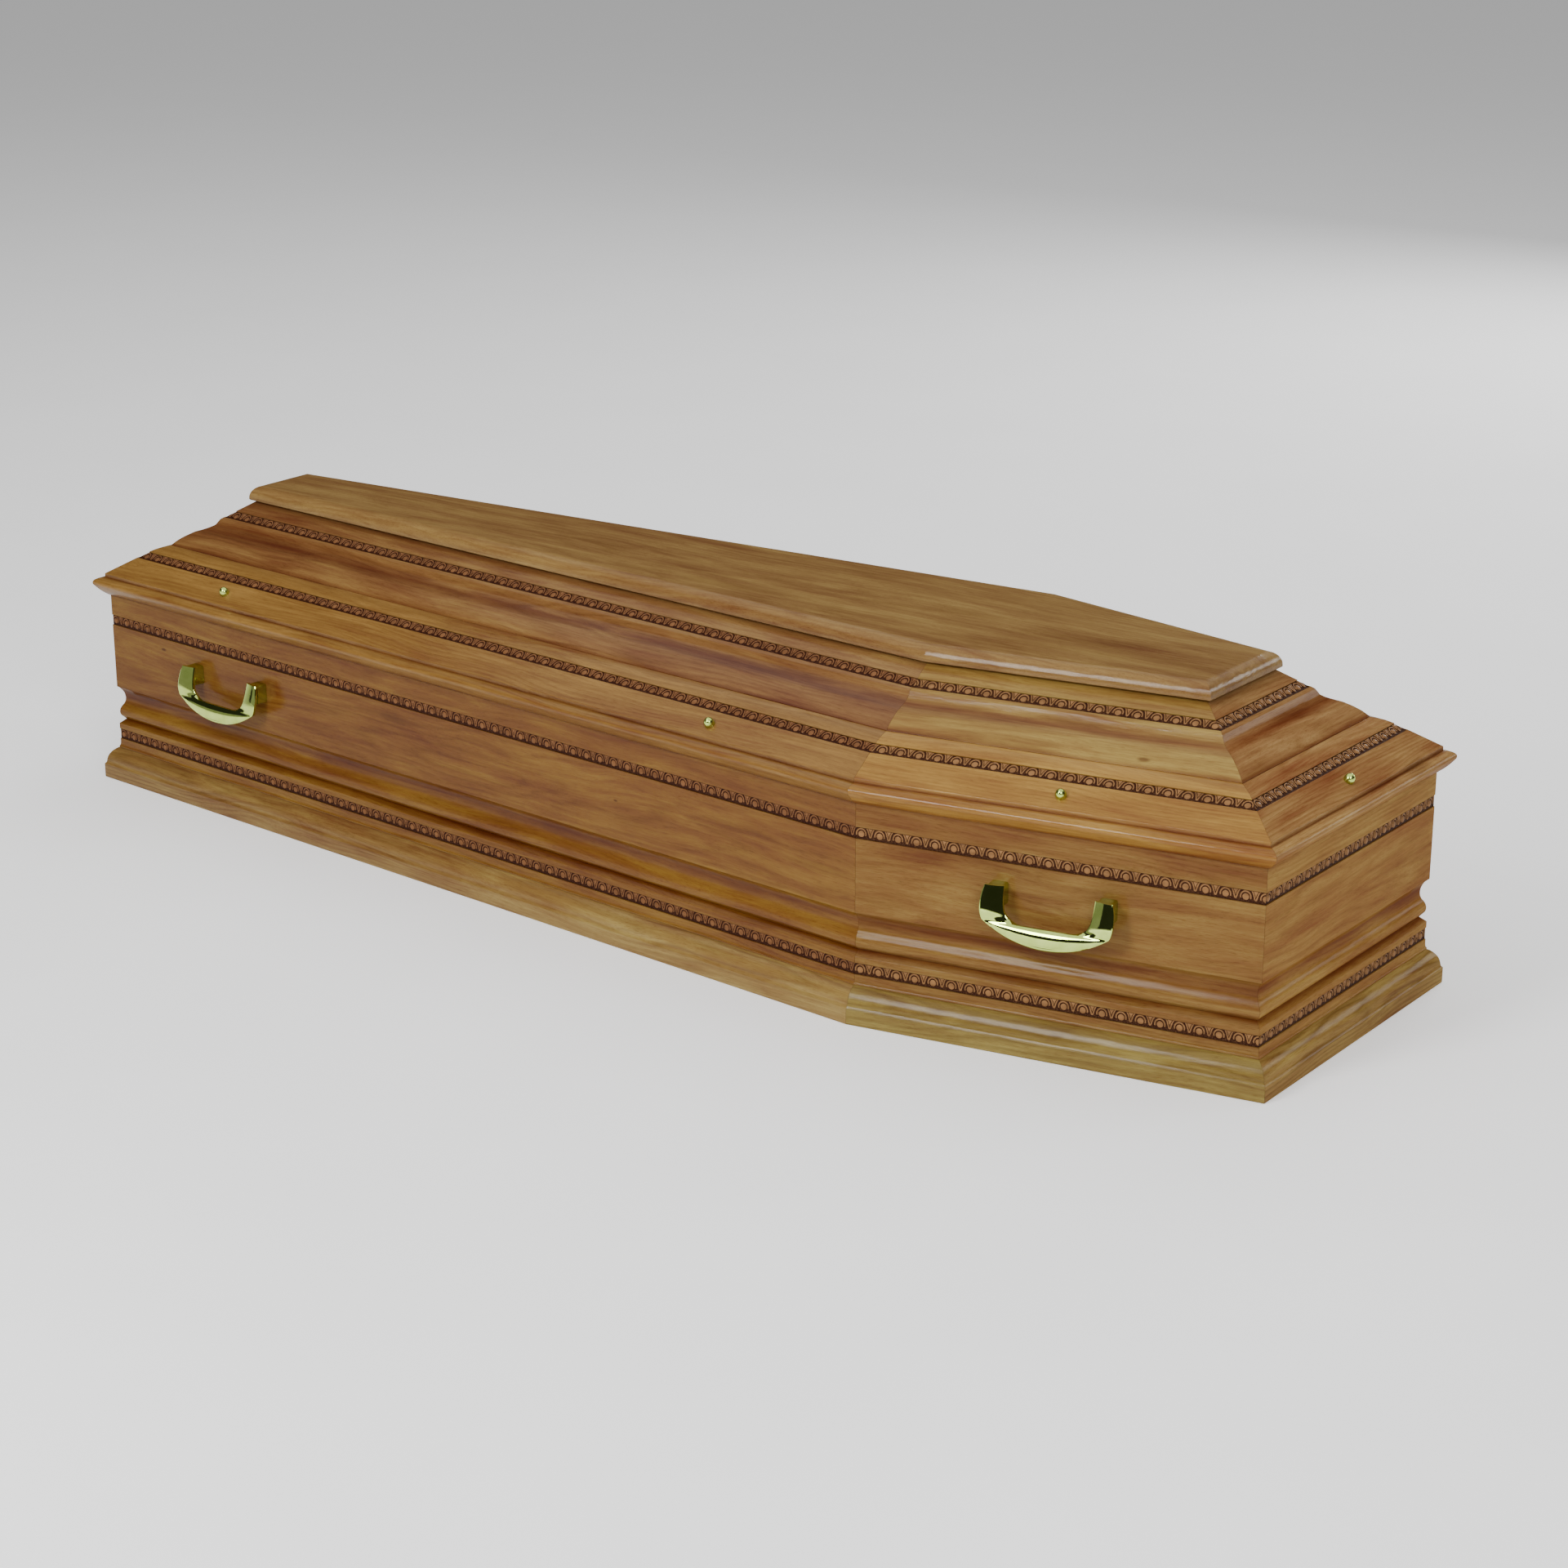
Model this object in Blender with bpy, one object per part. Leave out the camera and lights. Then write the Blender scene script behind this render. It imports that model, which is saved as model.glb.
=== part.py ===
"""Oak coffin: a six-sided box with a moulded, hollow lid, brass handles and screw caps.

Frame: origin under the middle of the box on the floor, +X to the head, +Z up, metres.
Every moulding is a section swept along one side of the box and mitred at its corners.
A section is a list of (offset, height) points: offset is measured outward from the face of
the flat panels, height from the floor.
"""
import math

import bmesh
import bpy
from mathutils import Matrix, Vector

# Plan of the box at the face of the flat panels
LENGTH = 1.900
FOOT_WIDTH = 0.398
SHOULDER_WIDTH = 0.610
HEAD_WIDTH = 0.424
SHOULDER_TO_HEAD = 0.499

# Boards, and the gap left in every joint
WALL = 0.022
BOTTOM = 0.018
JOINT = 0.0003

# Plinth moulding round the foot of the box
PLINTH_HEIGHT = 0.0453
PLINTH_FACE = 0.0201
PLINTH_PROUD = 0.0187
PLINTH_STEP = 0.0026
PLINTH_TOP_LIP = 0.0015

# Wall section from the plinth up: lower fascia, V notch, torus, scotia and flat panel
FLARE = 0.0018
FLARE_HEIGHT = 0.0080
FASCIA_HEIGHT = 0.0362
NOTCH_HEIGHT = 0.0065
NOTCH_DEPTH = 0.0078
TORUS_HEIGHT = 0.0227
TORUS_INSET = 0.0020
SCOTIA_HEIGHT = 0.0267
SCOTIA_DEPTH = 0.0083
PANEL_HEIGHT = 0.1394

# Carved bands: a shallow channel that the egg and dart pattern fills
BAND_HEIGHT = 0.0152
BAND_DEPTH = 0.0016
LOWER_BAND_ABOVE_PLINTH = 0.0129
UPPER_BAND_ABOVE_PANEL_FOOT = 0.0943
LID_BAND_ABOVE_ARRIS = 0.0050

# Lid rim: cove and nose, step, sloping fascia with a band, and a shoulder up to the next board
NOSE_PROUD = 0.0183
NOSE_UNDERSIDE = 0.0140
NOSE_HEIGHT = 0.0264
STEP_HEIGHT = 0.0053
STEP_OUT = 0.0045
RIM_FASCIA_RUN = 0.0347
RIM_FASCIA_RISE = 0.0221
RIM_SHOULDER_RUN = 0.0237
RIM_SHOULDER_RISE = 0.0087
RIM_BEARING_HEIGHT = 0.0180
LID_THICKNESS = 0.0240

# Lid slope: an ogee up to an arris, then a flat slope with a band under the top board
OGEE_LIP = 0.0009
OGEE_RUN = 0.0526
OGEE_RISE = 0.0370
CROWN_RUN = 0.0415
CROWN_RISE = 0.0271
TOP_BEARING = 0.0200

# Top board with an ovolo edge
TOP_BOARD = 0.0205
TOP_OVERHANG = 0.0100
TOP_EDGE_RADIUS = 0.0175
TOP_ARRIS = 0.0012

# Brass screw caps on the lid rim
CAP_RADIUS = 0.0076
CAP_HEIGHT = 0.0078
CAP_FLANGE = 0.0012
CAP_FROM_CORNER = 0.2440

# Brass handles: a dished U band on two lugs
HANDLE_WIDTH = 0.1650
HANDLE_TOP = 0.0725
HANDLE_DROP = 0.0655
BAND_WIDTH = 0.0225
HANDLE_PLATE = 0.0045
HANDLE_REACH = 0.0285
HANDLE_BOW = 0.0050
HANDLE_DISH = 0.0045
LUG_WIDTH = 0.0170
LUG_HEIGHT = 0.0250
HANDLE_FROM_FOOT = 0.2600

SIDES = ("left_foot", "left_head", "head", "right_head", "right_foot", "foot")
CURVE_STEPS = 6


# Plan and sections

def outline(offset):
    """The six corners of the plan, moved outward by offset, in the order of SIDES."""
    half = LENGTH / 2
    shoulder_x = half - SHOULDER_TO_HEAD
    base = [
        Vector((-half, -FOOT_WIDTH / 2)),
        Vector((shoulder_x, -SHOULDER_WIDTH / 2)),
        Vector((half, -HEAD_WIDTH / 2)),
        Vector((half, HEAD_WIDTH / 2)),
        Vector((shoulder_x, SHOULDER_WIDTH / 2)),
        Vector((-half, FOOT_WIDTH / 2)),
    ]
    corners = []
    for i, corner in enumerate(base):
        before = (corner - base[i - 1]).normalized()
        after = (base[(i + 1) % 6] - corner).normalized()
        normal_before = Vector((before.y, -before.x))
        normal_after = Vector((after.y, -after.x))
        shift = (normal_before + normal_after) / (1 + normal_before.dot(normal_after))
        corners.append(corner + shift * offset)
    return corners


def side_axes(side):
    """Direction along a side and outward from it."""
    start, end = side_ends(side, 0.0)
    along = (end - start).normalized()
    return along, Vector((along.y, -along.x))


def side_ends(side, offset):
    """The two corners of a side at an offset."""
    corners = outline(offset)
    i = SIDES.index(side)
    return corners[i], corners[(i + 1) % 6]


def curve(start, start_handle, end_handle, end, steps=CURVE_STEPS):
    """Points of a cubic curve after its start, the end included."""
    points = []
    for i in range(1, steps + 1):
        t = i / steps
        weights = ((1 - t) ** 3, 3 * t * (1 - t) ** 2, 3 * t * t * (1 - t), t ** 3)
        ends = (start, start_handle, end_handle, end)
        points.append(tuple(sum(w * p[k] for w, p in zip(weights, ends)) for k in range(2)))
    return points


def along_line(start, end, distance):
    """The point at a distance from start towards end."""
    share = distance / math.dist(start, end)
    return tuple(a + (b - a) * share for a, b in zip(start, end))


def channel(start, end, first):
    """The band's channel in a straight face that runs up from start to end."""
    low = along_line(start, end, first)
    high = along_line(start, end, first + BAND_HEIGHT)
    length = math.dist(start, end)
    inward = ((start[1] - end[1]) / length * BAND_DEPTH, (end[0] - start[0]) / length * BAND_DEPTH)
    low_floor = (low[0] + inward[0], low[1] + inward[1])
    high_floor = (high[0] + inward[0], high[1] + inward[1])
    return [low, low_floor, high_floor, high]


# Heights that one part hands on to the next

WAIST_FOOT = PLINTH_HEIGHT + JOINT + FASCIA_HEIGHT
PANEL_FOOT = WAIST_FOOT + NOTCH_HEIGHT + TORUS_HEIGHT + SCOTIA_HEIGHT
WALL_TOP = PANEL_FOOT + PANEL_HEIGHT
LID_FOOT = WALL_TOP + JOINT
STEP_FOOT = LID_FOOT + NOSE_HEIGHT
RIM_EDGE = (STEP_OUT, STEP_FOOT + STEP_HEIGHT)
RIM_BAND = (STEP_OUT - RIM_FASCIA_RUN, RIM_EDGE[1] + RIM_FASCIA_RISE)
RIM_BAND_TOP = along_line(RIM_EDGE, RIM_BAND, math.dist(RIM_EDGE, RIM_BAND) + BAND_HEIGHT)
CREASE = (RIM_BAND_TOP[0] - RIM_SHOULDER_RUN, RIM_BAND_TOP[1] + RIM_SHOULDER_RISE)
ARRIS = (CREASE[0] - OGEE_RUN, CREASE[1] + OGEE_RISE)
CROWN = (ARRIS[0] - CROWN_RUN, ARRIS[1] + CROWN_RISE)
TOP_FOOT = CROWN[1] + JOINT


def wall_section():
    """Lower fascia with its band, V notch, torus, scotia and the flat panel with its band."""
    fascia_foot = PLINTH_HEIGHT + JOINT
    notch = (-NOTCH_DEPTH, WAIST_FOOT + NOTCH_HEIGHT)
    torus_foot = (-TORUS_INSET, notch[1] + NOTCH_HEIGHT)
    torus_top = (-0.7 * SCOTIA_DEPTH, notch[1] + TORUS_HEIGHT)
    points = [(0.0, 0.0), (0.0, fascia_foot), (FLARE, fascia_foot)]
    points += [(FLARE, fascia_foot + 0.25 * FLARE_HEIGHT), (0.0, fascia_foot + FLARE_HEIGHT)]
    points += channel((0.0, fascia_foot), (0.0, WAIST_FOOT), LOWER_BAND_ABOVE_PLINTH)
    points += [(0.0, WAIST_FOOT), notch, torus_foot]
    points += curve(
        torus_foot,
        (-0.4 * TORUS_INSET, torus_foot[1] + 0.2 * TORUS_HEIGHT),
        (-0.4 * TORUS_INSET, torus_top[1] - 0.28 * TORUS_HEIGHT),
        torus_top,
    )
    points += curve(
        torus_top,
        (-1.25 * SCOTIA_DEPTH, torus_top[1] + 0.25 * SCOTIA_HEIGHT),
        (-1.1 * SCOTIA_DEPTH, PANEL_FOOT - 0.27 * SCOTIA_HEIGHT),
        (0.0, PANEL_FOOT),
    )
    points += channel((0.0, PANEL_FOOT), (0.0, WALL_TOP), UPPER_BAND_ABOVE_PANEL_FOOT)
    points += [(0.0, WALL_TOP), (-WALL, WALL_TOP), (-WALL, 0.0)]
    return points


def plinth_section():
    """Plain face, small step and a quarter round up to the seam under the fascia."""
    step = (PLINTH_PROUD - PLINTH_STEP, PLINTH_FACE + PLINTH_STEP)
    lip = (PLINTH_TOP_LIP, PLINTH_HEIGHT)
    points = [(JOINT, 0.0), (PLINTH_PROUD, 0.0), (PLINTH_PROUD, PLINTH_FACE), step]
    points += curve(
        step,
        (step[0], step[1] + 0.5 * (lip[1] - step[1])),
        (lip[0] + 0.5 * (step[0] - lip[0]), lip[1] - 0.15 * (lip[1] - step[1])),
        lip,
    )
    return points + [(JOINT, PLINTH_HEIGHT)]


def lid_rim_section():
    """Cove and round nose, step, sloping fascia, band, and a shoulder up to the crease."""
    nose_foot = (0.88 * NOSE_PROUD, LID_FOOT + NOSE_UNDERSIDE)
    nose_top = (STEP_OUT, STEP_FOOT)
    points = [(-WALL, LID_FOOT), (0.0, LID_FOOT)]
    points += curve(
        (0.0, LID_FOOT),
        (0.33 * NOSE_PROUD, LID_FOOT + 0.15 * NOSE_UNDERSIDE),
        (0.66 * NOSE_PROUD, LID_FOOT + 0.58 * NOSE_UNDERSIDE),
        nose_foot,
        4,
    )
    points += curve(
        nose_foot,
        (1.14 * NOSE_PROUD, nose_foot[1] + 0.36 * (STEP_FOOT - nose_foot[1])),
        (0.98 * NOSE_PROUD, STEP_FOOT - 0.08 * (STEP_FOOT - nose_foot[1])),
        nose_top,
    )
    points += [RIM_EDGE]
    points += channel(RIM_EDGE, RIM_BAND_TOP, math.dist(RIM_EDGE, RIM_BAND))
    points += curve(
        RIM_BAND_TOP,
        (RIM_BAND_TOP[0] - 0.30 * RIM_SHOULDER_RUN, RIM_BAND_TOP[1] + 0.50 * RIM_SHOULDER_RISE),
        (RIM_BAND_TOP[0] - 0.64 * RIM_SHOULDER_RUN, RIM_BAND_TOP[1] + 0.87 * RIM_SHOULDER_RISE),
        CREASE,
        4,
    )
    return points + [(CREASE[0], CREASE[1] - LID_THICKNESS), (-WALL, LID_FOOT + RIM_BEARING_HEIGHT)]


def lid_slope_section():
    """Lip, ogee to the arris, band and the flat slope that carries the top board."""
    face = CREASE[0] - JOINT
    lip = (face, CREASE[1] + OGEE_LIP)
    middle = (CREASE[0] - 0.55 * OGEE_RUN, CREASE[1] + 0.55 * OGEE_RISE)
    bearing = CROWN[0] - TOP_BEARING
    points = [(face, CREASE[1] - LID_THICKNESS), lip]
    points += curve(
        lip,
        (lip[0] - 0.17 * OGEE_RUN, lip[1] + 0.27 * OGEE_RISE),
        (lip[0] - 0.34 * OGEE_RUN, lip[1] + 0.44 * OGEE_RISE),
        middle,
    )
    points += curve(
        middle,
        (middle[0] - 0.24 * OGEE_RUN, middle[1] + 0.11 * OGEE_RISE),
        (middle[0] - 0.37 * OGEE_RUN, middle[1] + 0.19 * OGEE_RISE),
        ARRIS,
    )
    points += channel(ARRIS, CROWN, LID_BAND_ABOVE_ARRIS)
    return points + [CROWN, (bearing, CROWN[1]), (bearing, CROWN[1] - LID_THICKNESS)]


def top_board_rings():
    """Rings of the top board from its underside to its flat top."""
    edge = CROWN[0] + TOP_OVERHANG
    spring = TOP_FOOT + TOP_BOARD - TOP_EDGE_RADIUS
    rings = [(edge - TOP_ARRIS, TOP_FOOT), (edge, TOP_FOOT + TOP_ARRIS)]
    for i in range(CURVE_STEPS + 1):
        angle = math.pi / 2 * i / CURVE_STEPS
        inset = TOP_EDGE_RADIUS * (1 - math.cos(angle))
        rings.append((edge - inset, spring + TOP_EDGE_RADIUS * math.sin(angle)))
    return rings


# Materials

def material(name, colour, roughness, metallic):
    made = bpy.data.materials.new(name)
    made.use_nodes = True
    shader = made.node_tree.nodes["Principled BSDF"]
    shader.inputs["Base Color"].default_value = (*colour, 1.0)
    shader.inputs["Roughness"].default_value = roughness
    shader.inputs["Metallic"].default_value = metallic
    made.diffuse_color = (*colour, 1.0)
    return made


def make_materials():
    return {
        "wall": material("panel_oak", (0.27, 0.13, 0.045), 0.35, 0.0),
        "plinth": material("plinth_oak", (0.31, 0.17, 0.06), 0.35, 0.0),
        "rim": material("rim_oak", (0.30, 0.15, 0.055), 0.33, 0.0),
        "slope": material("slope_oak", (0.25, 0.12, 0.042), 0.33, 0.0),
        "top": material("top_oak", (0.27, 0.14, 0.05), 0.30, 0.0),
        "bottom": material("bottom_oak", (0.42, 0.28, 0.15), 0.60, 0.0),
        "brass": material("polished_brass", (0.78, 0.60, 0.22), 0.12, 1.0),
    }


# Solids

def new_object(name, mesh_data, finish):
    """Turn a bmesh into a named object with outward normals."""
    bmesh.ops.recalc_face_normals(mesh_data, faces=mesh_data.faces)
    mesh = bpy.data.meshes.new(name)
    mesh_data.to_mesh(mesh)
    mesh_data.free()
    mesh.materials.append(finish)
    made = bpy.data.objects.new(name, mesh)
    bpy.context.scene.collection.objects.link(made)
    return made


def loft(sections):
    """A closed solid through closed loops of the same number of points."""
    solid = bmesh.new()
    loops = [[solid.verts.new(point) for point in section] for section in sections]
    count = len(loops[0])
    for lower, upper in zip(loops, loops[1:]):
        for i in range(count):
            j = (i + 1) % count
            solid.faces.new((lower[i], lower[j], upper[j], upper[i]))
    solid.faces.new(list(reversed(loops[0])))
    solid.faces.new(loops[-1])
    return solid


def mitred_board(name, side, section, finish):
    """Sweep a section along one side, cut back by half a joint at both mitres."""
    along, _ = side_axes(side)
    i = SIDES.index(side)
    ends = []
    for corner_index, inward in ((i, 1), ((i + 1) % 6, -1)):
        mitre = (outline(1.0)[corner_index] - outline(0.0)[corner_index]).normalized()
        back = along * inward * JOINT / 2 / abs(along.cross(mitre))
        end = []
        for offset, height in section:
            corner = outline(offset)[corner_index] + back
            end.append((corner.x, corner.y, height))
        ends.append(end)
    return new_object(name, loft(ends), finish)


def stacked_board(name, rings, finish):
    """A six-sided board through (offset, height) rings."""
    sections = [[(c.x, c.y, height) for c in outline(offset)] for offset, height in rings]
    return new_object(name, loft(sections), finish)


def screw_cap(name, side, distance, finish):
    """A slightly pointed brass dome, square to the sloping fascia of the lid rim."""
    start, _ = side_ends(side, 0.0)
    along, out = side_axes(side)
    middle = [(a + b) / 2 for a, b in zip(RIM_EDGE, RIM_BAND)]
    run, rise = (RIM_EDGE[0] - RIM_BAND[0], RIM_BAND[1] - RIM_EDGE[1])
    normal = Vector((out.x * rise, out.y * rise, run)).normalized()
    foot = start + along * distance + out * middle[0]
    place = Vector((foot.x, foot.y, middle[1])) + normal * JOINT
    profile = [(CAP_RADIUS, 0.0), (CAP_RADIUS, CAP_FLANGE), (0.90 * CAP_RADIUS, 1.6 * CAP_FLANGE)]
    profile += curve(
        profile[-1],
        (0.86 * CAP_RADIUS, 0.70 * CAP_HEIGHT),
        (0.40 * CAP_RADIUS, 0.88 * CAP_HEIGHT),
        (0.12 * CAP_RADIUS, CAP_HEIGHT),
        5,
    )
    sides = 14
    rings = []
    for radius, height in profile:
        ring = []
        for i in range(sides):
            turn = 2 * math.pi * i / sides
            ring.append((radius * math.cos(turn), radius * math.sin(turn), height))
        rings.append(ring)
    cap = new_object(name, loft(rings), finish)
    cap.matrix_world = Matrix.Translation(place) @ normal.to_track_quat("Z", "Y").to_matrix().to_4x4()
    cap.data.shade_smooth()
    cap.data.set_sharp_from_angle(angle=math.radians(40))
    return cap


def handle_edges(half_turn):
    """Outer and inner edge of the U band, seen from the front: half_turn runs -1 to 1."""
    half = HANDLE_WIDTH / 2
    side = -1 if half_turn < 0 else 1
    t = abs(half_turn)
    outer_half = [(0.0, -HANDLE_DROP)] + curve(
        (0.0, -HANDLE_DROP),
        (0.58 * half, -HANDLE_DROP),
        (half, -0.76 * HANDLE_DROP),
        (half, -0.36 * HANDLE_DROP),
        10,
    ) + curve(
        (half, -0.36 * HANDLE_DROP),
        (half, -0.22 * HANDLE_DROP),
        (0.97 * half, -0.10 * HANDLE_DROP),
        (0.93 * half, 0.0),
        4,
    )
    inner = half - BAND_WIDTH
    bar = HANDLE_DROP - 1.07 * BAND_WIDTH
    inner_half = [(0.0, -bar)] + curve(
        (0.0, -bar),
        (0.78 * inner, -bar),
        (0.90 * inner, -0.80 * bar),
        (0.93 * inner, -0.46 * bar),
        10,
    ) + curve(
        (0.93 * inner, -0.46 * bar),
        (0.95 * inner, -0.28 * bar),
        (0.95 * inner, -0.10 * bar),
        (0.94 * inner, 0.0),
        4,
    )
    index = round(t * 14)
    outer_point = outer_half[index]
    inner_point = inner_half[index]
    return (side * outer_point[0], outer_point[1]), (side * inner_point[0], inner_point[1])


def handle(name, side, distance, finish):
    """A dished and bowed U band whose two upper ends stand on lugs."""
    along, out = side_axes(side)
    start, _ = side_ends(side, 0.0)
    foot = start + along * distance
    rows = (along.x, 0, out.x, foot.x), (along.y, 0, out.y, foot.y), (0, 1, 0, PANEL_FOOT + HANDLE_TOP)
    place = Matrix((*rows, (0, 0, 0, 1)))
    sections = []
    for i in range(-14, 15):
        turn = i / 14
        outer, inner = handle_edges(turn)
        reach = HANDLE_REACH + HANDLE_BOW * math.cos(turn * math.pi / 2) ** 2
        middle = [(a + b) / 2 for a, b in zip(outer, inner)]
        rim = [b + (a - b) * 0.93 for a, b in zip(outer, inner)]
        sections.append([
            (*inner, reach - HANDLE_DISH),
            (*middle, reach - 0.40 * HANDLE_DISH),
            (*rim, reach),
            (*outer, reach - 0.30 * HANDLE_PLATE),
            (*outer, reach - HANDLE_PLATE),
            (*middle, reach - 0.40 * HANDLE_DISH - HANDLE_PLATE),
            (*inner, reach - HANDLE_DISH - HANDLE_PLATE),
        ])
    band = new_object(name, loft(sections), finish)
    for end in (-1, 1):
        outer, inner = handle_edges(end)
        centre = (outer[0] + inner[0]) / 2
        lug_sections = []
        for depth, share in ((JOINT, 1.0), (0.35 * HANDLE_REACH, 0.90), (HANDLE_REACH - HANDLE_DISH, 0.90)):
            wide = LUG_WIDTH / 2 * share
            low = -LUG_HEIGHT * share
            lug_sections.append([
                (centre - wide, low, depth),
                (centre + wide, low, depth),
                (centre + wide, -0.0008, depth),
                (centre - wide, -0.0008, depth),
            ])
        lug = new_object(f"{name}_lug_cutter", loft(lug_sections), finish)
        lug.matrix_world = place
        lug.hide_render = True
        lug.display_type = "WIRE"
        join = band.modifiers.new("lug", "BOOLEAN")
        join.operation = "UNION"
        join.object = lug
    band.matrix_world = place
    return band


# Assembly

def clear_scene():
    for old in list(bpy.data.objects):
        bpy.data.objects.remove(old, do_unlink=True)


def build():
    clear_scene()
    finish = make_materials()
    inside = -WALL - JOINT
    stacked_board("bottom_board", [(inside, 0.0), (inside, BOTTOM)], finish["bottom"])
    for side in SIDES:
        mitred_board(f"wall_{side}", side, wall_section(), finish["wall"])
        mitred_board(f"plinth_{side}", side, plinth_section(), finish["plinth"])
        mitred_board(f"lid_rim_{side}", side, lid_rim_section(), finish["rim"])
        mitred_board(f"lid_slope_{side}", side, lid_slope_section(), finish["slope"])
    stacked_board("lid_top_board", top_board_rings(), finish["top"])
    for hand in ("left", "right"):
        long_side = f"{hand}_foot"
        short_side = f"{hand}_head"
        long_length = math.dist(*side_ends(long_side, 0.0))
        short_length = math.dist(*side_ends(short_side, 0.0))
        near_foot, near_shoulder = CAP_FROM_CORNER, long_length - CAP_FROM_CORNER
        handle_at = HANDLE_FROM_FOOT
        if hand == "right":
            handle_at = long_length - handle_at
            near_foot, near_shoulder = near_shoulder, near_foot
        screw_cap(f"screw_cap_{hand}_foot", long_side, near_foot, finish["brass"])
        screw_cap(f"screw_cap_{hand}_middle", long_side, near_shoulder, finish["brass"])
        screw_cap(f"screw_cap_{hand}_head", short_side, short_length / 2, finish["brass"])
        handle(f"handle_{hand}_foot", long_side, handle_at, finish["brass"])
        handle(f"handle_{hand}_head", short_side, short_length / 2, finish["brass"])
    screw_cap("screw_cap_foot_end", "foot", FOOT_WIDTH / 2, finish["brass"])
    screw_cap("screw_cap_head_end", "head", HEAD_WIDTH / 2, finish["brass"])


build()
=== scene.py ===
"""Looks of a six-sided oak coffin: moulded and carved boards, a stepped lid, brass handles and caps.

Everything is in metres in the frame of the CAD part: the origin is under the middle of the coffin,
+X runs to the head and +Z up. A board's section is a list of (offset, height) points, where offset
is measured outward from the face of the flat panels.
"""
import math
from collections import namedtuple

import bmesh
import bpy
import numpy as np
from mathutils import Matrix, Vector


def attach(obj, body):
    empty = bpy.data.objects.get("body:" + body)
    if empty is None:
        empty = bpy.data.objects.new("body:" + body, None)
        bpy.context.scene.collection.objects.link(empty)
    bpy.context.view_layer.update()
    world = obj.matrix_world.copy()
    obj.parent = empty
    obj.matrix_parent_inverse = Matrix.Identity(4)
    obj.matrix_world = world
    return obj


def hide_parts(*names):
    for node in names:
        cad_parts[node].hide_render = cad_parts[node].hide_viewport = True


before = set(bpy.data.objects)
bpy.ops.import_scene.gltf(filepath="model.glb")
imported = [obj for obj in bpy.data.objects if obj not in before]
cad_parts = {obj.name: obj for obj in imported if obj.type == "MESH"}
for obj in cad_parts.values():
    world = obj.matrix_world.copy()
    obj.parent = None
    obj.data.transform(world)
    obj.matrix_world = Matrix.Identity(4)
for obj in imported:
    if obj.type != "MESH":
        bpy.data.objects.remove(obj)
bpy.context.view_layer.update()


# Walls: six solid oak boards, moulded with a fascia, a V notch, a torus and a scotia under a flat
# panel. They are mitred at the corners and shoulders, glued, stained brown and varnished.

LENGTH = 1.900
FOOT_WIDTH = 0.398
SHOULDER_WIDTH = 0.610
HEAD_WIDTH = 0.424
SHOULDER_TO_HEAD = 0.499
SIDES = ("left_foot", "left_head", "head", "right_head", "right_foot", "foot")

JOINT = 0.0003
WALL = 0.022
FASCIA_FOOT = 0.0456
FASCIA_FLARE = 0.0018
WAIST_FOOT = 0.0818
NOTCH_DEPTH = 0.0078
NOTCH_HEIGHT = 0.0883
TORUS_FOOT = 0.0948
SCOTIA_FOOT = 0.1110
PANEL_FOOT = 0.1377
WALL_TOP = 0.2771
BAND_HEIGHT = 0.0152
CHANNEL_DEPTH = 0.0024
LOWER_BAND = 0.0585
UPPER_BAND = 0.2320

Side = namedtuple("Side", "place length start_turn end_turn")


def plan_side(name):
    """Where a side of the plan lies: its own frame has x along it and y inward."""
    half = LENGTH / 2
    shoulder = half - SHOULDER_TO_HEAD
    plan = [
        Vector((-half, -FOOT_WIDTH / 2)),
        Vector((shoulder, -SHOULDER_WIDTH / 2)),
        Vector((half, -HEAD_WIDTH / 2)),
        Vector((half, HEAD_WIDTH / 2)),
        Vector((shoulder, SHOULDER_WIDTH / 2)),
        Vector((-half, FOOT_WIDTH / 2)),
    ]
    i = SIDES.index(name)
    edges = [plan[(i + step + 1) % 6] - plan[(i + step) % 6] for step in (-1, 0, 1)]
    along = edges[1].normalized()
    place = Matrix((
        (along.x, -along.y, 0, plan[i].x),
        (along.y, along.x, 0, plan[i].y),
        (0, 0, 1, 0),
        (0, 0, 0, 1),
    ))
    start_turn = abs(edges[0].angle_signed(edges[1]))
    end_turn = abs(edges[1].angle_signed(edges[2]))
    return Side(place, edges[1].length, start_turn, end_turn)


def mitre_ends(side, offset):
    """Where a board ends along its side at an offset, with half a joint left open."""
    start = JOINT / 2 / math.cos(side.start_turn / 2) - offset * math.tan(side.start_turn / 2)
    end = JOINT / 2 / math.cos(side.end_turn / 2) - offset * math.tan(side.end_turn / 2)
    return start, side.length - end


def curve(start, start_handle, end_handle, end, steps=14):
    """Points of a cubic curve after its start, the end included."""
    points = []
    for i in range(1, steps + 1):
        t = i / steps
        weights = ((1 - t) ** 3, 3 * t * (1 - t) ** 2, 3 * t * t * (1 - t), t ** 3)
        ends = (start, start_handle, end_handle, end)
        points.append(tuple(sum(w * p[k] for w, p in zip(weights, ends)) for k in range(2)))
    return points


def eased(points):
    """Sand round each arris that carries a third number, its radius."""
    section = []
    for i, point in enumerate(points):
        here = Vector(point[:2])
        if len(point) == 2:
            section.append(tuple(here))
            continue
        before = Vector(points[i - 1][:2]) - here
        after = Vector(points[(i + 1) % len(points)][:2]) - here
        opening = before.angle(after)
        cut = min(point[2] / math.tan(opening / 2), 0.45 * before.length, 0.45 * after.length)
        first = here + before.normalized() * cut
        last = here + after.normalized() * cut
        for step in range(6):
            t = step / 5
            arc = first * (1 - t) ** 2 + here * 2 * t * (1 - t) + last * t * t
            section.append(tuple(arc))
    return section


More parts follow.
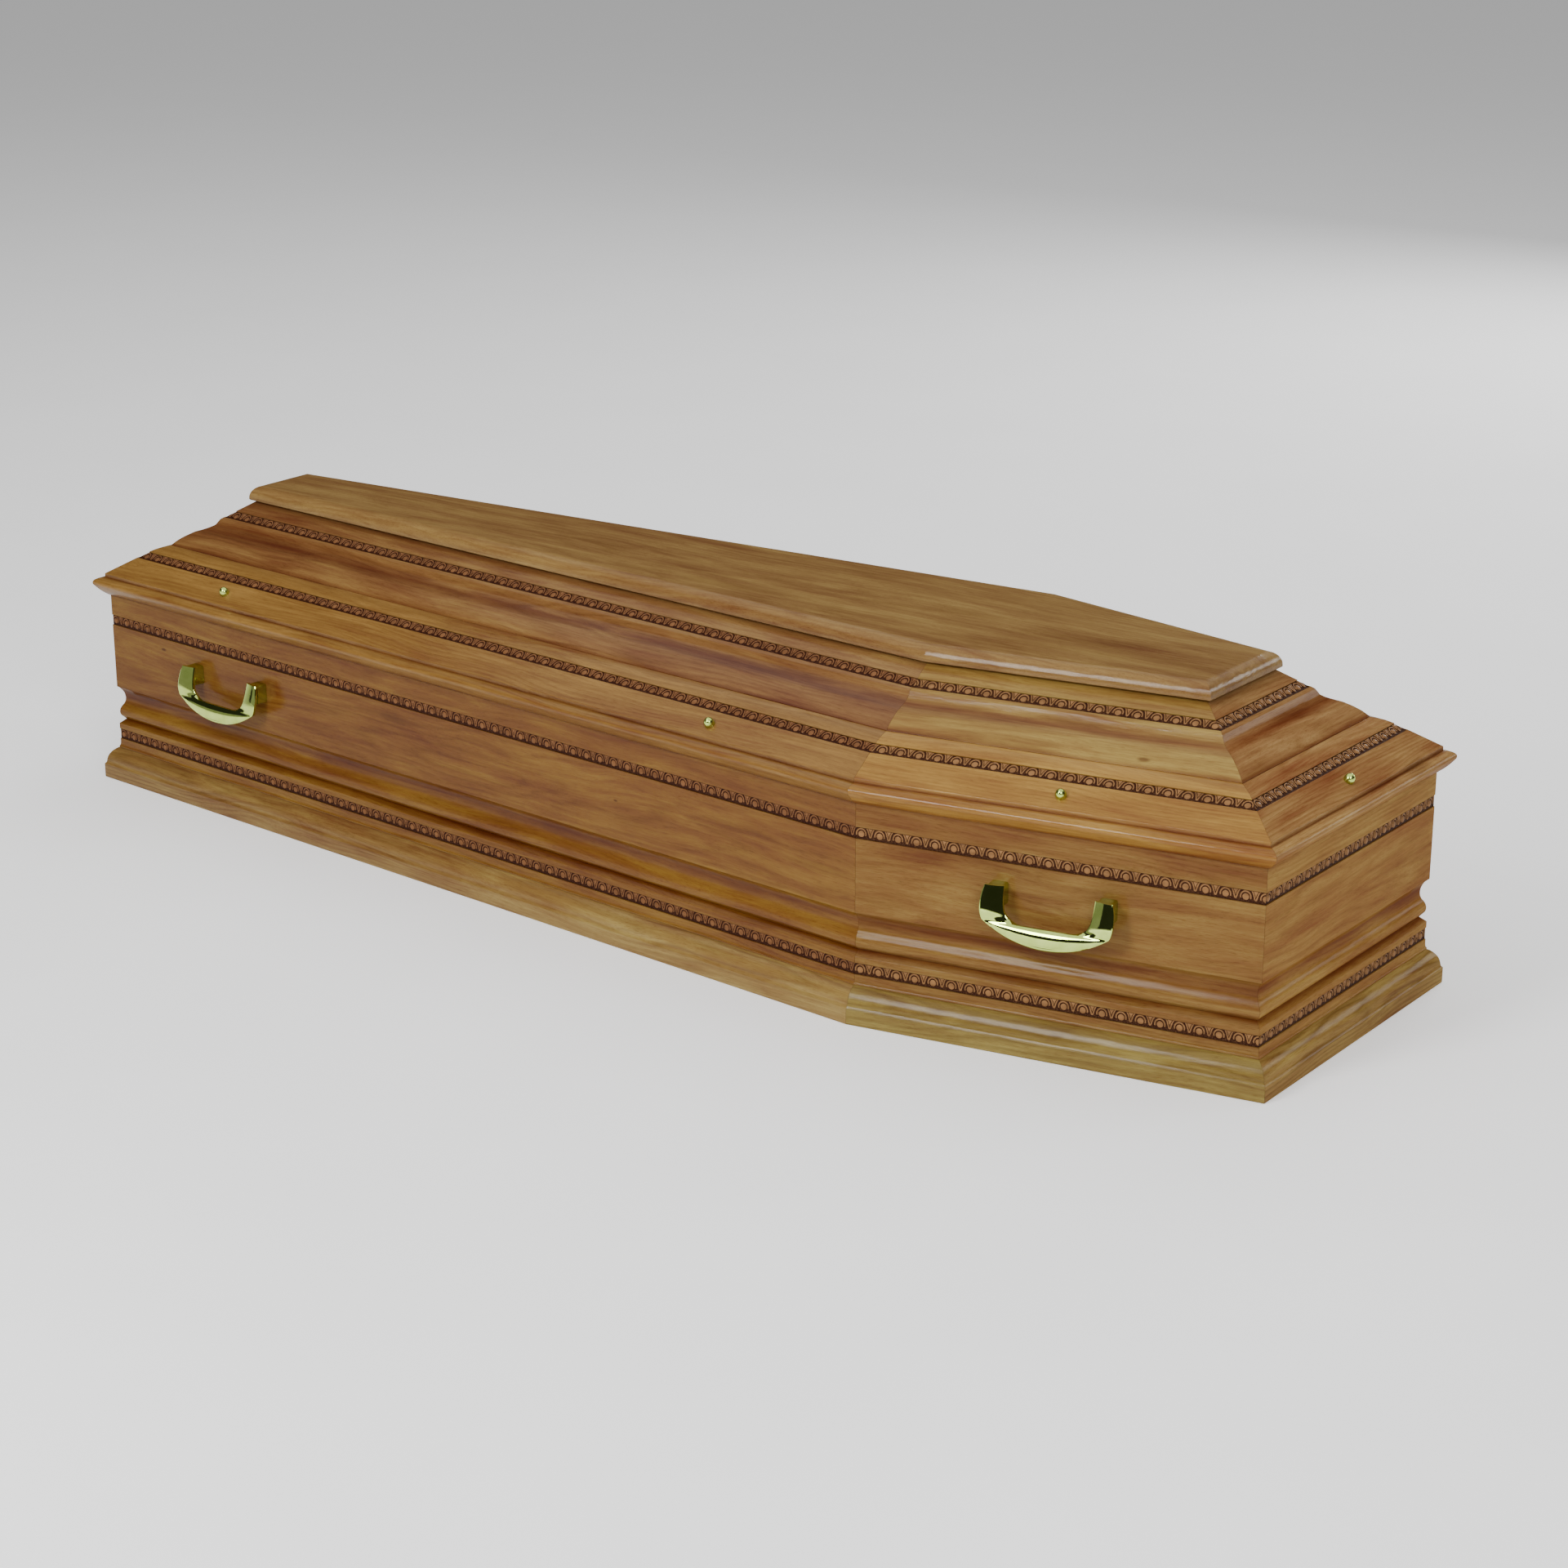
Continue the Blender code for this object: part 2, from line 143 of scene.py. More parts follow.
def channel(low, high):
    """The four corners of the shallow channel that a carved band fills, low edge to high edge."""
    face = (Vector(high) - Vector(low)).normalized()
    inward = Vector((-face.y, face.x)) * CHANNEL_DEPTH
    return [tuple(low), tuple(Vector(low) + inward), tuple(Vector(high) + inward), tuple(high)]


def smooth_object(name, mesh_data, place, finish, angle=35):
    """A named object with outward normals, smooth but for its arrises."""
    bmesh.ops.recalc_face_normals(mesh_data, faces=mesh_data.faces)
    mesh = bpy.data.meshes.new(name)
    mesh_data.to_mesh(mesh)
    mesh_data.free()
    mesh.materials.append(finish)
    mesh.shade_smooth()
    mesh.set_sharp_from_angle(angle=math.radians(angle))
    made = bpy.data.objects.new(name, mesh)
    made.matrix_world = place
    bpy.context.scene.collection.objects.link(made)
    flat_faces = made.modifiers.new("flat faces stay flat", "WEIGHTED_NORMAL")
    flat_faces.keep_sharp = True
    return made


def mitred_board(name, side, section, finish, shade_spots=()):
    """Run a section along one side of the coffin and mitre both ends.

    The last argument lists (offset, height, radius) spots in the recesses of the section, where the
    colour is darkened as painted shade.
    """
    board = bmesh.new()
    ends = ([], [])
    for offset, height in section:
        for end, x in zip(ends, mitre_ends(side, offset)):
            end.append(board.verts.new((x, -offset, height)))
    for i in range(len(section)):
        j = (i + 1) % len(section)
        board.faces.new((ends[0][i], ends[0][j], ends[1][j], ends[1][i]))
    board.faces.new(ends[0])
    board.faces.new(list(reversed(ends[1])))
    made = smooth_object(name, board, side.place, finish)
    # Painted shade: each point keeps how deep it lies in a recess spot, for the finish to darken.
    shade_amounts = []
    for point in section:
        depths = [1 - math.dist(point, painted_shade[:2]) / painted_shade[2] for painted_shade in shade_spots]
        shade_amounts += [max([0.0, *depths])] * 2
    made.data.attributes.new("painted_shade", "FLOAT", "POINT").data.foreach_set("value", shade_amounts)
    return made


def wall_section():
    """Flared fascia foot, fascia with its band, V notch, torus, scotia and panel with its band."""
    section = [(0.0, 0.0), (0.0, FASCIA_FOOT), (FASCIA_FLARE, FASCIA_FOOT)]
    section += [(FASCIA_FLARE, FASCIA_FOOT + 0.0014, 0.0006)]
    section += curve(
        (FASCIA_FLARE, FASCIA_FOOT + 0.0014),
        (0.0006, FASCIA_FOOT + 0.0020),
        (0.0001, FASCIA_FOOT + 0.0040),
        (0.0, FASCIA_FOOT + 0.0080),
        6,
    )
    section += channel((0.0, LOWER_BAND), (0.0, LOWER_BAND + BAND_HEIGHT))
    section += [(0.0, WAIST_FOOT, 0.0012), (-NOTCH_DEPTH, NOTCH_HEIGHT)]
    section += [(-0.0026, TORUS_FOOT - 0.0006, 0.0012)]
    section += curve(
        (-0.0020, TORUS_FOOT + 0.0006),
        (-0.0008, TORUS_FOOT + 0.0045),
        (-0.0008, SCOTIA_FOOT - 0.0064),
        (-0.0058, SCOTIA_FOOT),
    )
    section += curve(
        (-0.0058, SCOTIA_FOOT),
        (-0.0104, SCOTIA_FOOT + 0.0067),
        (-0.0091, PANEL_FOOT - 0.0072),
        (-0.0012, PANEL_FOOT - 0.0002),
    )
    section += [(0.0, PANEL_FOOT, 0.0007)]
    section += channel((0.0, UPPER_BAND), (0.0, UPPER_BAND + BAND_HEIGHT))
    section += [(0.0, WALL_TOP), (-WALL, WALL_TOP), (-WALL, 0.0)]
    return eased(section)


def tint(red, green, blue):
    """A colour as the eye reads it, 0 to 255, turned into the shader's linear colour."""
    shares = [value / 255 for value in (red, green, blue)]
    linear = [s / 12.92 if s <= 0.04045 else ((s + 0.055) / 1.055) ** 2.4 for s in shares]
    return (*linear, 1.0)


def add_node(tree, kind, inputs, output=0, **settings):
    """Add a shader node, set or link its inputs, and hand back one output."""
    made = tree.nodes.new(kind)
    for name, value in settings.items():
        setattr(made, name, value)
    for key, value in inputs.items():
        if isinstance(value, bpy.types.NodeSocket):
            tree.links.new(value, made.inputs[key])
        else:
            made.inputs[key].default_value = value
    return made.outputs[output]


def calculate(tree, operation, first, second=0.5):
    return add_node(tree, "ShaderNodeMath", {0: first, 1: second}, operation=operation)


def vector_step(tree, operation, first, second):
    return add_node(tree, "ShaderNodeVectorMath", {0: first, 1: second}, operation=operation)


def mix_colours(tree, share, first, second, how="MIX"):
    inputs = {0: share, 6: first, 7: second}
    return add_node(tree, "ShaderNodeMix", inputs, 2, data_type="RGBA", blend_type=how)


def stretched_noise(tree, coordinates, stretch, detail=2.0, rough=0.5, output=0):
    """Noise drawn out along the grain: stretch is how often it changes per metre in x, y and z."""
    place = vector_step(tree, "MULTIPLY", coordinates, stretch)
    inputs = {"Vector": place, "Scale": 1.0, "Detail": detail, "Roughness": rough}
    return add_node(tree, "ShaderNodeTexNoise", inputs, output)


def ramp(tree, share, stops):
    """A colour ramp through (position, colour) stops."""
    made = tree.nodes.new("ShaderNodeValToRGB")
    tree.links.new(share, made.inputs[0])
    elements = made.color_ramp.elements
    elements[0].position, elements[0].color = stops[0]
    elements[1].position, elements[1].color = stops[-1]
    for position, colour in stops[1:-1]:
        elements.new(position).color = colour
    return made.outputs[0]


def grey(value):
    return (value, value, value, 1.0)


def oak(name, seed, pale, brown, red, heart, ring, figure=0.80, varnish=0.34, sheen=0.05, marks=()):
    """Stained and varnished solid oak, cut from a log whose heart lies beside the board.

    Growth rings, pores and soft patches of stain all follow the board's own x axis. seed picks
    the stretch of the log and ring is the width of a year. figure is the share of colour that
    the early wood keeps, varnish the strength of the coat, and sheen that of the wood under it.
    marks are (x, y, z, size, depth) places of pin knots and of curls where the stain has sunk in.
    """
    made = bpy.data.materials.new(name)
    made.use_nodes = True
    tree = made.node_tree
    shader = tree.nodes["Principled BSDF"]
    local = add_node(tree, "ShaderNodeTexCoord", {}, "Object")
    place = vector_step(tree, "ADD", local, (seed * 2.37, 0.0, 0.0))
    sway = stretched_noise(tree, place, (2.2, 9.0, 9.0), 2.0, 0.5, "Color")
    sway = vector_step(tree, "SUBTRACT", sway, (0.5, 0.5, 0.5))
    sway = vector_step(tree, "MULTIPLY", sway, (0.0, 0.05, 0.05))
    log = vector_step(tree, "ADD", place, sway)
    across = vector_step(tree, "MULTIPLY", log, (0.0, 1.0, 1.0))
    across = vector_step(tree, "ADD", across, (0.0, heart[0], heart[1]))
    radius = add_node(tree, "ShaderNodeVectorMath", {0: across}, "Value", operation="LENGTH")
    years = calculate(tree, "MULTIPLY", radius, 1 / ring)
    unsteady = stretched_noise(tree, log, (3.0, 30.0, 30.0), 2.0)
    years = calculate(tree, "ADD", years, calculate(tree, "MULTIPLY", unsteady, 3.5))
    season = calculate(tree, "FRACT", years)
    through_the_year = [
        (0.0, grey(0.6)),
        (0.12, grey(1.0)),
        (0.40, grey(0.3)),
        (0.80, grey(0.0)),
        (1.0, grey(0.6)),
    ]
    early = ramp(tree, season, through_the_year)
    shown = stretched_noise(tree, place, (2.0, 14.0, 14.0), 1.0)
    shown = ramp(tree, shown, [(0.35, grey(0.25)), (0.65, grey(1.0))])
    early = calculate(tree, "MULTIPLY", early, shown)
    streaks = stretched_noise(tree, log, (7.0, 260.0, 260.0), 4.0, 0.65)
    pores = stretched_noise(tree, log, (75.0, 1900.0, 1900.0), 1.0)
    pores = ramp(tree, pores, [(0.56, grey(0.0)), (0.66, grey(1.0))])
    broad = stretched_noise(tree, place, (1.1, 9.0, 9.0), 2.0, 0.5)
    patches = stretched_noise(tree, log, (6.5, 42.0, 42.0), 3.0, 0.55)
    share = calculate(tree, "MULTIPLY", broad, 0.34)
    share = calculate(tree, "ADD", share, calculate(tree, "MULTIPLY", patches, 0.38))
    share = calculate(tree, "ADD", share, calculate(tree, "MULTIPLY", streaks, 0.28))
    tone = ramp(tree, share, [(0.37, pale), (0.50, brown), (0.64, red)])
    tone = mix_colours(tree, early, tone, (figure, 0.93 * figure, 0.85 * figure, 1.0), "MULTIPLY")
    tone = mix_colours(tree, pores, tone, (0.80, 0.73, 0.66, 1.0), "MULTIPLY")
    # Painted shade: the colour is darkened in the recess spots that the board marks, more in some
    # patches than in others.
    painted_shade = add_node(tree, "ShaderNodeAttribute", {}, "Fac", attribute_name="painted_shade")
    painted_shade = calculate(tree, "MULTIPLY", painted_shade, calculate(tree, "ADD", patches, 0.45))
    tone = mix_colours(tree, painted_shade, tone, (0.55, 0.32, 0.26, 1.0), "MULTIPLY")
    for x, y, z, size, depth in marks:
        away = vector_step(tree, "SUBTRACT", local, (x, y, z))
        away = vector_step(tree, "MULTIPLY", away, (0.4, 1.0, 1.0))
        bent = vector_step(tree, "MULTIPLY", sway, (0.0, 0.08, 0.08))
        away = vector_step(tree, "ADD", away, bent)
        away = add_node(tree, "ShaderNodeVectorMath", {0: away}, "Value", operation="LENGTH")
        inputs = {"Value": away, "From Min": size, "From Max": 0.3 * size, "To Max": depth}
        mark = add_node(tree, "ShaderNodeMapRange", inputs, interpolation_type="SMOOTHSTEP")
        tone = mix_colours(tree, mark, tone, (0.34, 0.20, 0.14, 1.0), "MULTIPLY")
    tree.links.new(tone, shader.inputs["Base Color"])
    rough = calculate(tree, "MULTIPLY", streaks, 0.22)
    rough = calculate(tree, "ADD", rough, calculate(tree, "MULTIPLY", pores, 0.10))
    rough = calculate(tree, "ADD", rough, 0.30)
    tree.links.new(rough, shader.inputs["Roughness"])
    relief = calculate(tree, "MULTIPLY", pores, -0.7)
    relief = calculate(tree, "ADD", relief, calculate(tree, "MULTIPLY", early, -0.2))
    relief = calculate(tree, "ADD", relief, calculate(tree, "MULTIPLY", streaks, 0.35))
    bump = add_node(tree, "ShaderNodeBump", {"Height": relief, "Distance": 0.00010, "Strength": 0.4})
    tree.links.new(bump, shader.inputs["Normal"])
    ripples = calculate(tree, "ADD", patches, calculate(tree, "MULTIPLY", streaks, 0.16))
    ripples = calculate(tree, "ADD", ripples, calculate(tree, "MULTIPLY", early, 0.08))
    wavy = add_node(tree, "ShaderNodeBump", {"Height": ripples, "Distance": 0.0021, "Strength": 0.5})
    tree.links.new(wavy, shader.inputs["Coat Normal"])
    shader.inputs["Coat Weight"].default_value = varnish
    shader.inputs["Coat Roughness"].default_value = 0.15
    shader.inputs["Specular IOR Level"].default_value = sheen
    return made


# Spots of painted shade in the wall's recesses: the scotia and the V notch.
wall_shade_spots = ((-0.009, 0.126, 0.013), (-NOTCH_DEPTH, NOTCH_HEIGHT, 0.006))
for number, name in enumerate(SIDES):
    # Painted light and shade: the head end's tints are lighter and the foot sides' a little darker,
    # set so each side matches how it looks in its light, on top of the wood's own colour.
    tones = (tint(133, 106, 56), tint(115, 82, 42), tint(95, 53, 29))
    if name == "head":
        tones = (tint(158, 127, 68), tint(140, 103, 53), tint(120, 72, 37))
    if name.endswith("foot"):
        tones = (tint(127, 95, 39), tint(109, 72, 30), tint(91, 49, 23))
    varnish = {"head": 0.10, "left_head": 0.20, "right_head": 0.20}.get(name, 0.34)
    marks = ()
    if name == "left_foot":
        marks = (
            (0.115, 0.0, 0.216, 0.0030, 0.8),
            (1.010, 0.0, 0.190, 0.0020, 0.8),
            (0.600, 0.0, 0.2136, 0.0150, 0.22),
        )
    wall_finish = oak(
        f"panel_oak_{name}", 11 + number, *tones,
        heart=(0.10, -0.19), ring=0.0050, varnish=varnish, sheen=0.0, marks=marks,
    )
    side = plan_side(name)
    wall = mitred_board(f"oak_wall_{name}", side, wall_section(), wall_finish, wall_shade_spots)
    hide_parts(f"wall_{name}")
    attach(wall, "root")


# Carved bands on the walls: egg and dart, pressed into the oak by a heated wheel, so the ground
# is burnt dark and the raised parts keep the colour of the wood. Each board has its own stretch.

PITCH = 0.0238
FIRST_EGG = 0.4830
CARVING_GAP = 0.0003
CARVING_BACK = 0.0021
CARVING_MIDDLE = 0.0009
CARVING_COLUMNS = 28
CARVING_ROWS = 18

# The lines of the pattern are in mm, up from the foot of the band or across it.
EGG_HEIGHT = 6.8
EGG_RADIUS = 3.9
SHELL_RADIUS = 6.1
SHELL_FOOT = 5.0
DART_FOOT = 4.9
DART_SPREAD = 0.30
RIDGE = 0.85
TOP_LINE = 14.45


def smooth_step(low, high, value):
    t = np.clip((value - low) / (high - low), 0.0, 1.0)
    return t * t * (3 - 2 * t)


def rounded(distance, reach):
    """Height of a round ridge or boss, 1 in its middle and 0 at its reach."""
    return np.sqrt(np.clip(1 - (distance / reach) ** 2, 0.0, 1.0))


def egg_and_dart(along, up):
    """Depth of the carving under the face at points of the band, all in mm."""
    half = PITCH * 500
    beside = np.abs((along + half) % (2 * half) - half)
    egg = 1.1 * rounded(np.hypot(beside, up - EGG_HEIGHT), EGG_RADIUS)
    from_shell = np.abs(np.hypot(beside, 0.92 * (up - EGG_HEIGHT)) - SHELL_RADIUS)
    shell = 1.0 * rounded(from_shell, RIDGE + 0.1) * (up > SHELL_FOOT)
    rise = np.maximum(up - DART_FOOT, 0.0)
    rise = rise * DART_SPREAD + 0.9 * np.clip((rise - 5.6) / 4.0, 0.0, 1.0) ** 2
    from_dart = np.hypot(half - beside, np.maximum(DART_FOOT - up, 0.0)) - 1.0 - rise
    dart = 1.0 * rounded(from_dart, RIDGE + 0.1)
    tongue = 0.9 * smooth_step(-0.2, 0.3, -1.65 - from_dart) * (up > DART_FOOT)
    raised = np.maximum(np.maximum(egg, shell), np.maximum(dart, tongue))
    raised = np.where(up > TOP_LINE, 0.0, raised)
    return 1.45 - raised


def carved_strip(name, side, low, high, egg, finish):
    """A closed strip that fills a channel, with an egg at the given distance along the side."""
    low, high = Vector(low), Vector(high)
    face = (high - low).normalized()
    inward = Vector((-face.y, face.x))
    tiles = side.length / PITCH
    columns = int(tiles * CARVING_COLUMNS)
    up = np.linspace(CARVING_GAP, BAND_HEIGHT - CARVING_GAP, CARVING_ROWS + 1)[:, None]
    share = np.linspace(0.0, 1.0, columns + 1)[None, :]
    offset = low.x + face.x * up + inward.x * CARVING_MIDDLE
    start, end = mitre_ends(side, offset)
    along = start + share * (end - start)
    pattern = np.stack([(along - egg) * 1000, np.broadcast_to(up, along.shape) * 1000], axis=-1)
    depth = egg_and_dart(pattern[..., 0], pattern[..., 1])
    end_fade = smooth_step(0.0, 0.0012, np.minimum(along - start, end - along))
    depth = depth / 1000 * end_fade + CARVING_MIDDLE * (1 - end_fade)
    y = -(low.x + face.x * up + inward.x * depth)
    z = low.y + face.y * up + inward.y * depth
    front = np.stack([along, y, z], axis=-1).reshape(-1, 3)
    back_rows = []
    for edge in (0, CARVING_ROWS):
        back_offset = low.x + face.x * up[edge, 0] + inward.x * CARVING_BACK
        back_height = low.y + face.y * up[edge, 0] + inward.y * CARVING_BACK
        back_start, back_end = mitre_ends(side, back_offset)
        row = np.empty((columns + 1, 3))
        row[:, 0] = back_start + share[0] * (back_end - back_start)
        row[:, 1] = -back_offset
        row[:, 2] = back_height
        back_rows.append(row)
    points = np.concatenate([front, *back_rows])
    wide = columns + 1
    corner = (np.arange(CARVING_ROWS)[:, None] * wide + np.arange(columns)[None, :]).reshape(-1)
    quads = [np.stack([corner, corner + 1, corner + wide + 1, corner + wide], axis=1)]
    low_back = (CARVING_ROWS + 1) * wide
    high_back = low_back + wide
    top_row = CARVING_ROWS * wide
    run = np.arange(columns)
    for lower, upper in ((low_back, 0), (top_row, high_back), (high_back, low_back)):
        corners = [lower + run, lower + run + 1, upper + run + 1, upper + run]
        quads.append(np.stack(corners, axis=1))
    faces = np.concatenate(quads).tolist()
    start_column = [row * wide for row in range(CARVING_ROWS + 1)]
    faces.append([low_back] + start_column + [high_back])
    end_column = [row * wide + columns for row in range(CARVING_ROWS, -1, -1)]
    faces.append([high_back + columns] + end_column + [low_back + columns])
    mesh = bpy.data.meshes.new(name)
    mesh.from_pydata(points.tolist(), [], faces)
    mesh.materials.append(finish)
    mesh.shade_smooth()
    mesh.set_sharp_from_angle(angle=math.radians(70))
    vertex = np.empty(len(mesh.loops), np.int32)
    mesh.loops.foreach_get("vertex_index", vertex)
    flat = np.concatenate([pattern.reshape(-1, 2), np.zeros((2 * wide, 2))])
    layer = mesh.uv_layers.new(name="carving")
    layer.data.foreach_set("uv", flat[vertex].astype(np.float32).reshape(-1))
    strip = bpy.data.objects.new(name, mesh)
    strip.matrix_world = side.place
    bpy.context.scene.collection.objects.link(strip)
    return strip


def length(tree, first, second):
    first = calculate(tree, "MULTIPLY", first, first)
    second = calculate(tree, "MULTIPLY", second, second)
    return calculate(tree, "SQRT", calculate(tree, "ADD", first, second))


def past(tree, value, low, high):
    """Rises from 0 at low to 1 at high, or falls if high is the smaller."""
    inputs = {"Value": value, "From Min": low, "From Max": high}
    return add_node(tree, "ShaderNodeMapRange", inputs, interpolation_type="SMOOTHSTEP")


def ridge_line(tree, distance):
    """1 on a ridge, falling to 0 at its sides."""
    return past(tree, calculate(tree, "ABSOLUTE", distance), RIDGE + 0.15, RIDGE - 0.2)


def carved_oak(name, raised, ground):
    """Pressed oak: the cut lines and ground are scorched, the raised parts keep the wood's colour."""
    made = bpy.data.materials.new(name)
    made.use_nodes = True
    tree = made.node_tree
    shader = tree.nodes["Principled BSDF"]
    place = add_node(tree, "ShaderNodeUVMap", {}, uv_map="carving")
    along = add_node(tree, "ShaderNodeSeparateXYZ", {0: place}, "X")
    up = add_node(tree, "ShaderNodeSeparateXYZ", {0: place}, "Y")
    beside = calculate(tree, "PINGPONG", along, PITCH * 500)
    over = calculate(tree, "SUBTRACT", up, EGG_HEIGHT)
    egg = past(tree, length(tree, beside, over), EGG_RADIUS + 0.15, EGG_RADIUS - 0.15)
    from_shell = length(tree, beside, calculate(tree, "MULTIPLY", over, 0.92))
    shell = ridge_line(tree, calculate(tree, "SUBTRACT", from_shell, SHELL_RADIUS))
    shell = calculate(tree, "MULTIPLY", shell, past(tree, up, SHELL_FOOT - 0.2, SHELL_FOOT + 0.2))
    above = calculate(tree, "MAXIMUM", calculate(tree, "SUBTRACT", up, DART_FOOT), 0.0)
    below = calculate(tree, "MAXIMUM", calculate(tree, "SUBTRACT", DART_FOOT, up), 0.0)
    from_dart = length(tree, calculate(tree, "SUBTRACT", PITCH * 500, beside), below)
    flare = calculate(tree, "MAXIMUM", calculate(tree, "SUBTRACT", above, 5.6), 0.0)
    flare = calculate(tree, "MULTIPLY", flare, 0.25)
    flare = calculate(tree, "MULTIPLY", calculate(tree, "MULTIPLY", flare, flare), 0.9)
    rise = calculate(tree, "ADD", calculate(tree, "MULTIPLY", above, DART_SPREAD), flare)
    from_dart = calculate(tree, "SUBTRACT", calculate(tree, "SUBTRACT", from_dart, 1.0), rise)
    tongue = past(tree, from_dart, -1.50, -1.85)
    tongue = calculate(tree, "MULTIPLY", tongue, past(tree, above, 0.5, 1.0))
    dart = calculate(tree, "MAXIMUM", ridge_line(tree, from_dart), tongue)
    raised_parts = calculate(tree, "MAXIMUM", calculate(tree, "MAXIMUM", egg, shell), dart)
    under_line = past(tree, up, TOP_LINE + 0.15, TOP_LINE - 0.15)
    raised_parts = calculate(tree, "MULTIPLY", raised_parts, under_line)
    burn = calculate(tree, "SUBTRACT", 1.0, raised_parts)
    local = add_node(tree, "ShaderNodeTexCoord", {}, "Object")
    streaks = stretched_noise(tree, local, (30.0, 500.0, 500.0), 3.0, 0.6)
    scorch = stretched_noise(tree, local, (45.0, 120.0, 120.0), 2.0)
    shade = ramp(tree, scorch, [(0.35, grey(0.0)), (0.75, grey(0.45))])
    fibres = stretched_noise(tree, local, (500.0, 1500.0, 1500.0), 1.0)
    fibres = ramp(tree, fibres, [(0.50, grey(0.97)), (0.72, grey(0.66))])
    shade = calculate(tree, "MAXIMUM", calculate(tree, "MULTIPLY", burn, fibres), shade)
    wood = mix_colours(tree, streaks, raised, tuple(0.72 * c for c in raised[:3]) + (1.0,))
    tree.links.new(mix_colours(tree, shade, wood, ground), shader.inputs["Base Color"])
    rough = calculate(tree, "ADD", calculate(tree, "MULTIPLY", burn, 0.25), 0.34)
    tree.links.new(rough, shader.inputs["Roughness"])
    relief = calculate(tree, "SUBTRACT", calculate(tree, "MULTIPLY", streaks, 0.2), burn)
    bump = add_node(tree, "ShaderNodeBump", {"Height": relief, "Distance": 0.0006, "Strength": 0.6})
    tree.links.new(bump, shader.inputs["Normal"])
    shader.inputs["Coat Weight"].default_value = 0.06
    shader.inputs["Coat Roughness"].default_value = 0.20
    shader.inputs["Specular IOR Level"].default_value = 0.03
    return made


carving_finish = carved_oak("carved_oak", tint(152, 110, 70), tint(38, 11, 5))
# A darker copy for the foot sides, matched to how they look in their light: painted shade.
foot_shaded_carving_finish = carved_oak("carved_oak_darker", tint(130, 88, 56), tint(36, 9, 4))


def lay_carving(name, side_name, low, high, egg):
    finish = foot_shaded_carving_finish if side_name.endswith("foot") else carving_finish
    strip = carved_strip(name, plan_side(side_name), low, high, egg, finish)
    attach(strip, "root")


for name in SIDES:
    for band, height in (("lower", LOWER_BAND), ("upper", UPPER_BAND)):
        lay_carving(
            f"carving_{band}_{name}", name,
            (0.0, height), (0.0, height + BAND_HEIGHT), FIRST_EGG,
        )


# Plinth: six solid oak mouldings glued round the foot of the walls, with a plain face, a small
# step and a quarter round that dies into the fascia. The wood is paler and strongly figured.

PLINTH_HEIGHT = 0.0453
PLINTH_FACE = 0.0201
PLINTH_PROUD = 0.0187
PLINTH_STEP = 0.0026


def plinth_section():
    step = (PLINTH_PROUD - PLINTH_STEP, PLINTH_FACE + PLINTH_STEP)
    lip = (0.0015, PLINTH_HEIGHT)
    section = [(JOINT, 0.0), (PLINTH_PROUD, 0.0, 0.0008), (PLINTH_PROUD, PLINTH_FACE, 0.0008)]
    section += [(step[0] + 0.0004, step[1] - 0.0002)]
    section += curve(step, (0.0161, 0.0340), (0.0088, 0.0419), lip)
    return eased(section + [(JOINT, PLINTH_HEIGHT)])


for number, name in enumerate(SIDES):
    # Painted light: the head end's tints are lighter, set so it matches how it looks in its light, on
    # top of the wood's own colour.
    tones = (tint(146, 130, 70), tint(122, 102, 50), tint(98, 69, 34))
    if name == "head":
        tones = (tint(174, 153, 86), tint(148, 121, 66), tint(121, 85, 46))
    if name.endswith("foot"):
        tones = (tint(149, 127, 72), tint(127, 99, 53), tint(103, 66, 34))
    varnish = {"head": 0.12, "left_head": 0.25, "right_head": 0.25}.get(name, 0.34)
    sheen = 0.0 if name == "head" else 0.05
    marks = ((0.265, -0.0165, 0.0338, 0.0060, 0.5),) if name == "left_head" else ()
    plinth_finish = oak(
        f"plinth_oak_{name}", 31 + number, *tones,
        heart=(0.05, -0.06), ring=0.0055, figure=0.68,
        varnish=varnish, sheen=sheen, marks=marks,
    )
    plinth = mitred_board(f"oak_plinth_{name}", plan_side(name), plinth_section(), plinth_finish)
    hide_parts(f"plinth_{name}")
    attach(plinth, "root")


# Bottom board: one plain oak board that lies between the walls and is glued and nailed to them.
# It is planed and left without varnish. Its shape is the solid's own.

bottom_finish = oak(
    "bottom_raw_oak", 3,
    tint(196, 170, 128), tint(178, 148, 104), tint(160, 128, 86),
    heart=(0.3, -0.10), ring=0.0050,
)
bottom_shader = bottom_finish.node_tree.nodes["Principled BSDF"]
bottom_shader.inputs["Coat Weight"].default_value = 0.0
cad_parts["bottom_board"].data.materials[0] = bottom_finish


# Lid rim: six mitred and varnished oak mouldings that rest on the walls, with a drip lip over the
# joint. A cove and a round nose overhang the walls, then come a small step, a sloping fascia, a
# carved band and a rounded shoulder.

LID_FOOT = 0.2774
NOSE_PROUD = 0.0183
NOSE_FOOT = 0.2914
STEP_FOOT = 0.3038
RIM_EDGE = (0.0045, 0.3091)
RIM_BAND = (-0.0302, 0.3312)
RIM_BAND_TOP = (-0.04302, 0.339365)
CREASE = (-0.06672, 0.348065)
LID_THICKNESS = 0.0240
RIM_BEARING_HEIGHT = 0.0180
RIM_EGG = 0.4472
RIM_EGG_HEAD = 0.4452


